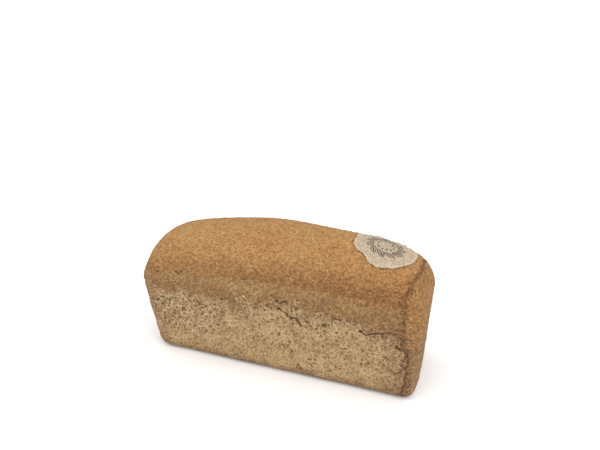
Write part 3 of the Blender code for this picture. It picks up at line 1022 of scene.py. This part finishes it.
def paper_material():
    """Edible paper: matt cream, greyed by the oven, mottled, with a painted highlight along its rim."""
    material, shader, start, place = start_material("wafer_paper")
    cloud = start.noise(place, 120, 3)
    speck = start.noise(place, 1300, 3, 0.7)
    mottle = cloud * 0.25 + speck * 0.35 + start.cells(place, FIBRE_CELLS) * 0.40
    colour = mottle.step(0.18, 0.62).mix(PAPER_GREY, PAPER_CREAM)
    # Painted highlight along the paper's rim
    rim = start.attribute("reach").step(0.90, 0.985)
    colour = (rim * 0.40).mix(colour, PAPER_HIGHLIGHT)
    feed(shader, "Base Color", colour)
    feed(shader, "Roughness", 0.70 + speck * 0.2)
    shader.inputs["Specular IOR Level"].default_value = 0.3
    bump = start.node("Bump", None, {"Strength": 0.5, "Distance": 0.0003, "Height": speck})
    feed(shader, "Normal", bump)
    return material


disc = add_piece("wafer", make_disc(), paper_material())
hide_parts("paper_disc")


# The print: grey food ink on the paper, a plain wreath of outlined leaves round a dotted ring.
# It is a film of ink with hardly any thickness, printed before the paper was cut.

INK_LIFT = 0.00006
INK_LINE = 0.00080
LEAF_COUNT = 11
LEAF_RADIUS = 0.0125
LEAF_HALF_LENGTH = 0.0043
LEAF_HALF_WIDTH = 0.0020
LEAF_TILT = 0.9
MIDRIB_HALF_LENGTH = LEAF_HALF_LENGTH * 0.7
MIDRIB_HALF_WIDTH = INK_LINE * 0.3
DOT_COUNT = 12
DOT_RADIUS = 0.0068
DOT_HALF = 0.00055
OVAL_POINTS = 28
OVAL_SQUEEZE = 0.4
INK_GREY = (0.060, 0.046, 0.036, 1)

# Corners of a ribbon's section: shares of the line's width outwards, and of its lift
RIBBON = [(0.5, 0.2), (0.5, 1), (-0.5, 1), (-0.5, 0.2)]


def print_motifs():
    """Each oval's distance from the middle, angle, heading, half length and half width."""
    motifs = []
    for index in range(LEAF_COUNT):
        angle = 2 * np.pi * index / LEAF_COUNT
        heading = angle + LEAF_TILT
        motifs.append((LEAF_RADIUS, angle, heading, LEAF_HALF_LENGTH, LEAF_HALF_WIDTH))
        motifs.append((LEAF_RADIUS, angle, heading, MIDRIB_HALF_LENGTH, MIDRIB_HALF_WIDTH))
    for index in range(DOT_COUNT):
        angle = 2 * np.pi * (index + 0.5) / DOT_COUNT
        motifs.append((DOT_RADIUS, angle, angle, DOT_HALF, DOT_HALF))
    return motifs


def make_print():
    """Closed ribbons of ink: leaf outlines, their midribs and dots.

    An oval's width is the sine of the way round it, times a power of that sine, which points
    its two ends. Each ribbon has a flat oblong section, carried once round its oval.
    """
    turn = np.arange(OVAL_POINTS) * 2 * np.pi / OVAL_POINTS
    oval = np.stack([np.cos(turn), np.sin(turn) * np.abs(np.sin(turn)) ** OVAL_SQUEEZE], -1)
    points, faces = [], []
    for radius, angle, heading, half_length, half_width in print_motifs():
        middle = np.array([radius * np.cos(angle), radius * np.sin(angle)])
        along = np.array([np.cos(heading), np.sin(heading)])
        side = np.array([-along[1], along[0]])
        rows = []
        for spread, lift in RIBBON:
            grown = oval * [half_length + spread * INK_LINE, half_width + spread * INK_LINE]
            plan = middle + grown[:, :1] * along + grown[:, 1:] * side
            x, y = DISC_CENTRE[0] + plan[:, 0], DISC_CENTRE[1] + plan[:, 1]
            rows.append(on_dome(x, y, DISC_THICKNESS + INK_LIFT * lift))
        first = len(points) * len(RIBBON) * OVAL_POINTS
        ring = first + np.arange(len(RIBBON) * OVAL_POINTS).reshape(len(RIBBON), OVAL_POINTS)
        turned = np.roll(ring, -1, axis=1)
        after, after_turned = np.roll(ring, -1, axis=0), np.roll(turned, -1, axis=0)
        faces += np.stack([ring, turned, after_turned, after], -1).reshape(-1, 4).tolist()
        points.append(np.concatenate(rows))
    mesh = bpy.data.meshes.new("print")
    mesh.from_pydata(np.concatenate(points).tolist(), [], faces)
    mesh.update()
    return mesh


def ink_material():
    """Food ink: matt grey, thinner where the paper's tooth shows through."""
    material, shader, start, place = start_material("food_ink")
    speck = start.noise(place, 1400, 2, 0.6)
    feed(shader, "Base Color", speck.step(0.45, 0.90).mix(INK_GREY, PAPER_GREY))
    feed(shader, "Roughness", 0.75 + speck * 0.1)
    return material


add_piece("print", make_print(), ink_material())


# The table and the light: a plain white table under a bright, even sky of white card, with two
# large soft lamps, at the front left and at the right. The camera stands where the
# photograph's stood.

TABLE_SIZE = 30.0
TABLE_DROP = 0.0003
TABLE_GREY = (0.96, 0.96, 0.96, 1)
TABLE_WHITE = (0.98, 0.98, 0.98, 1)
SKY_WHITE = (1, 1, 1, 1)
SKY_STRENGTH = 1.08

# Each lamp's place, size and power
LAMPS = [((-0.7, -1.1, 1.3), 1.0, 7.0), ((1.0, -0.6, 1.1), 1.0, 7.5)]

# The camera's angles in degrees, its distance and shifts in metres, its lens in millimetres
AZIMUTH = 20.154
ELEVATION = 16.691
ROLL = 0.632
DISTANCE = 0.43704
OFFSET_X = -0.014220
OFFSET_Y = -0.066733
AIM_HEIGHT = 0.05
LENS = 28.4072
SENSOR = 36.0
CLIP_START = 0.01


def make_table():
    """A flat square sheet with a white, faintly uneven finish."""
    half = TABLE_SIZE / 2
    plan = [(-half, -half), (half, -half), (half, half), (-half, half)]
    corners = [(x, y, -TABLE_DROP) for x, y in plan]
    mesh = bpy.data.meshes.new("table")
    mesh.from_pydata(corners, [], [(0, 1, 2, 3)])
    material, shader, start, place = start_material("white_table")
    feed(shader, "Base Color", start.noise(place, 6, 2).mix(TABLE_GREY, TABLE_WHITE))
    shader.inputs["Roughness"].default_value = 0.9
    mesh.materials.append(material)
    table = bpy.data.objects.new("table", mesh)
    bpy.context.scene.collection.objects.link(table)
    return table


def add_lamp(place, size, power):
    """A square soft lamp that faces the loaf."""
    light = bpy.data.lights.new("lamp", "AREA")
    light.size = size
    light.energy = power
    lamp = bpy.data.objects.new("lamp", light)
    lamp.location = place
    lamp.rotation_euler = (Vector((0, 0, AIM_HEIGHT)) - Vector(place)).to_track_quat("-Z", "Y").to_euler()
    bpy.context.scene.collection.objects.link(lamp)


def light_sky():
    """An even white sky all round."""
    world = bpy.data.worlds.new("white_card")
    world.use_nodes = True
    sky = world.node_tree.nodes["Background"]
    sky.inputs["Color"].default_value = SKY_WHITE
    sky.inputs["Strength"].default_value = SKY_STRENGTH
    bpy.context.scene.world = world


def add_camera():
    """The camera stands off along its back axis, then shifts sideways, up and round its axis."""
    turn, tilt, roll = (math.radians(angle) for angle in (AZIMUTH, ELEVATION, ROLL))
    back = Vector((math.sin(turn) * math.cos(tilt), -math.cos(turn) * math.cos(tilt), math.sin(tilt)))
    right = Vector((math.cos(turn), math.sin(turn), 0))
    up = back.cross(right)
    rolled_right = right * math.cos(roll) + up * math.sin(roll)
    rolled_up = up * math.cos(roll) - right * math.sin(roll)
    camera = bpy.data.objects.new("camera", bpy.data.cameras.new("camera"))
    camera.data.sensor_fit = "HORIZONTAL"
    camera.data.sensor_width = SENSOR
    camera.data.lens = LENS
    camera.data.clip_start = CLIP_START
    place = Vector((0, 0, AIM_HEIGHT)) + back * DISTANCE - rolled_right * OFFSET_X - rolled_up * OFFSET_Y
    axes = Matrix((rolled_right, rolled_up, back)).transposed()
    camera.matrix_world = Matrix.Translation(place) @ axes.to_4x4()
    bpy.context.scene.collection.objects.link(camera)
    bpy.context.scene.camera = camera


make_table()
for lamp in LAMPS:
    add_lamp(*lamp)
light_sky()
add_camera()
bpy.context.scene.view_settings.view_transform = "Standard"
